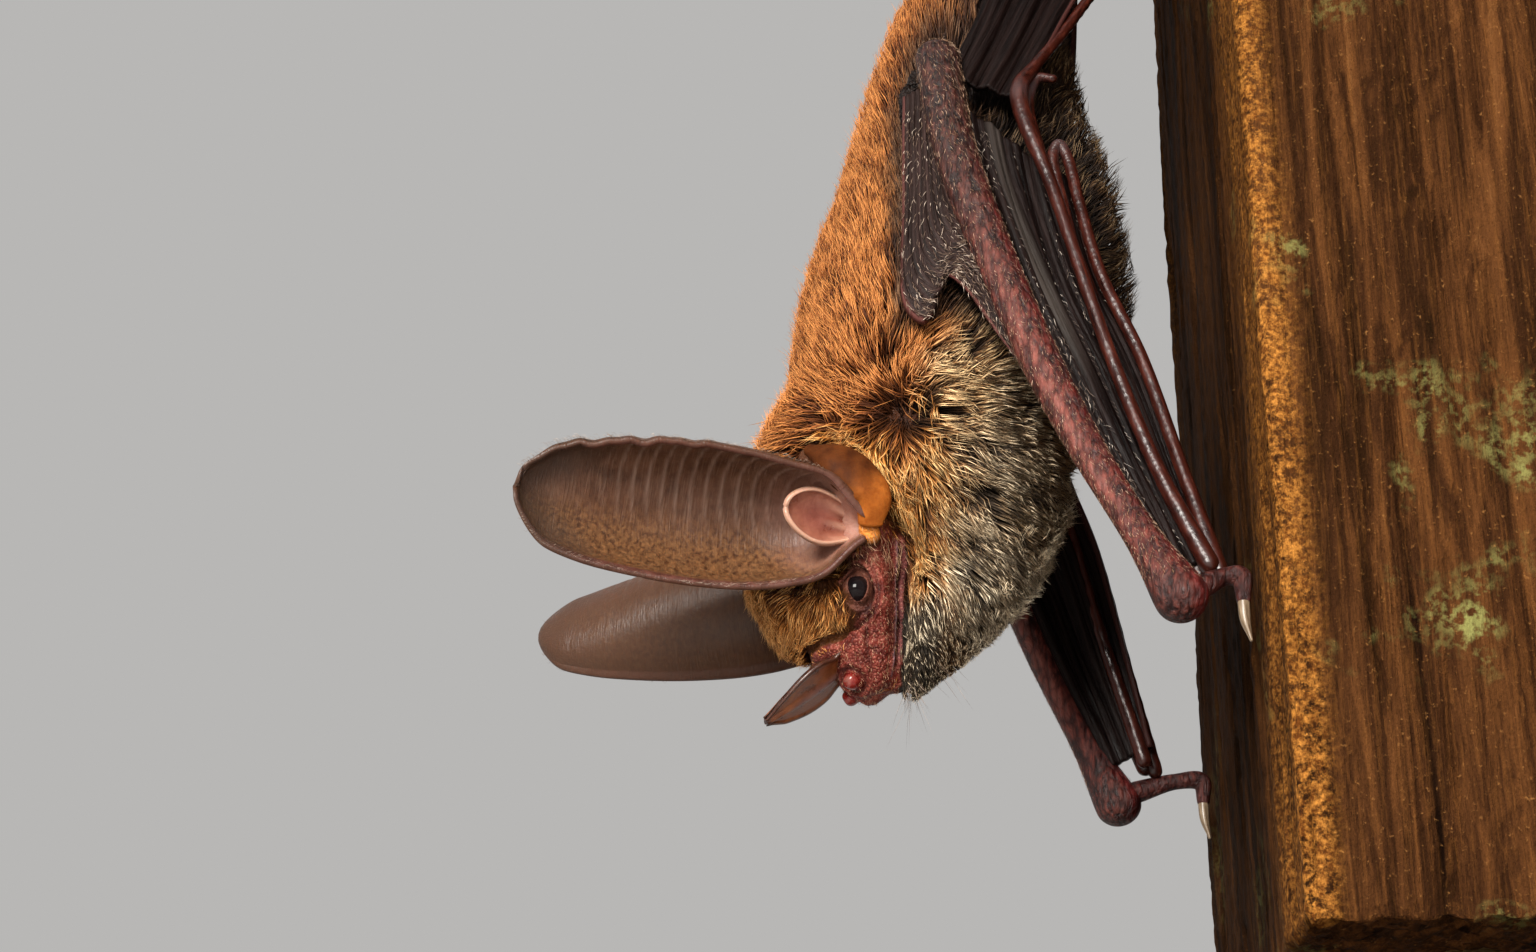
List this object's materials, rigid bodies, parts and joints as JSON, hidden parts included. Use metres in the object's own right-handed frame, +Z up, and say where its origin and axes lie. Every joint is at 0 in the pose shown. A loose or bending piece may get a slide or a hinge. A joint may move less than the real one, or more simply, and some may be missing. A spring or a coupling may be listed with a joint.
{
  "type": "leaf-nosed bat model",
  "caption": "Life-size still model of a big-eared leaf-nosed bat clinging head down to a cut length of old beam, held on a plain display stand.",
  "frame": {"origin": "centre of the underside of the stand's base, on the floor", "axes": "+Z up; +X runs from the bat's back to the beam it clings to; -Y is the bat's left side, and the bat hangs head down"},
  "size_m": [0.104, 0.084, 0.187],
  "materials": {
    "fur": "short directed fur, rufous brown",
    "throat_fur": "grizzled grey-buff fur with pale tips",
    "face_skin": "naked pink-brown pebbled skin",
    "nose_leaf": "thin satin skin",
    "ear_skin": "thin ribbed skin, satin",
    "eye": "wet gloss",
    "arm_skin": "finely wrinkled pink skin",
    "finger_bone": "thin brick-red skin over bone",
    "wing_skin": "thin dark skin, satin",
    "claw": "horn, semi-gloss",
    "wood": "weathered, open grain",
    "stand_base": "dark stained, satin",
    "stand_rod": "brushed"
  },
  "bodies": {
    "root": {"eye_left": "eye", "eye_right": "eye", "thumb_claw_left": "claw", "thumb_claw_right": "claw", "thumb_left": "arm_skin", "thumb_right": "arm_skin", "ear_left": "ear_skin", "ear_right": "ear_skin", "tragus_left": "ear_skin", "tragus_right": "ear_skin", "forearm_left": "arm_skin", "forearm_right": "arm_skin", "upper_arm_left": "fur", "upper_arm_right": "fur", "finger_5_left": "finger_bone", "finger_5_right": "finger_bone", "finger_4_left": "finger_bone", "finger_4_right": "finger_bone", "finger_3_left": "finger_bone", "finger_3_right": "finger_bone", "foot_left": "arm_skin", "foot_right": "arm_skin", "shin_left": "arm_skin", "shin_right": "arm_skin", "thigh_left": "fur", "thigh_right": "fur", "spur_left": "finger_bone", "spur_right": "finger_bone", "arm_web_left": "wing_skin", "arm_web_right": "wing_skin", "hand_web_left": "wing_skin", "hand_web_right": "wing_skin", "side_web_left": "wing_skin", "side_web_right": "wing_skin", "nose_pad": "face_skin", "nose_leaf": "nose_leaf", "head": "fur", "lower_jaw": "throat_fur", "neck": "throat_fur", "trunk": "fur", "tail": "finger_bone", "tail_web": "wing_skin", "stand_rod_1": "stand_rod", "stand_rod_2": "stand_rod", "perch": "wood", "stand_base": "stand_base"}
  },
  "joints": []
}
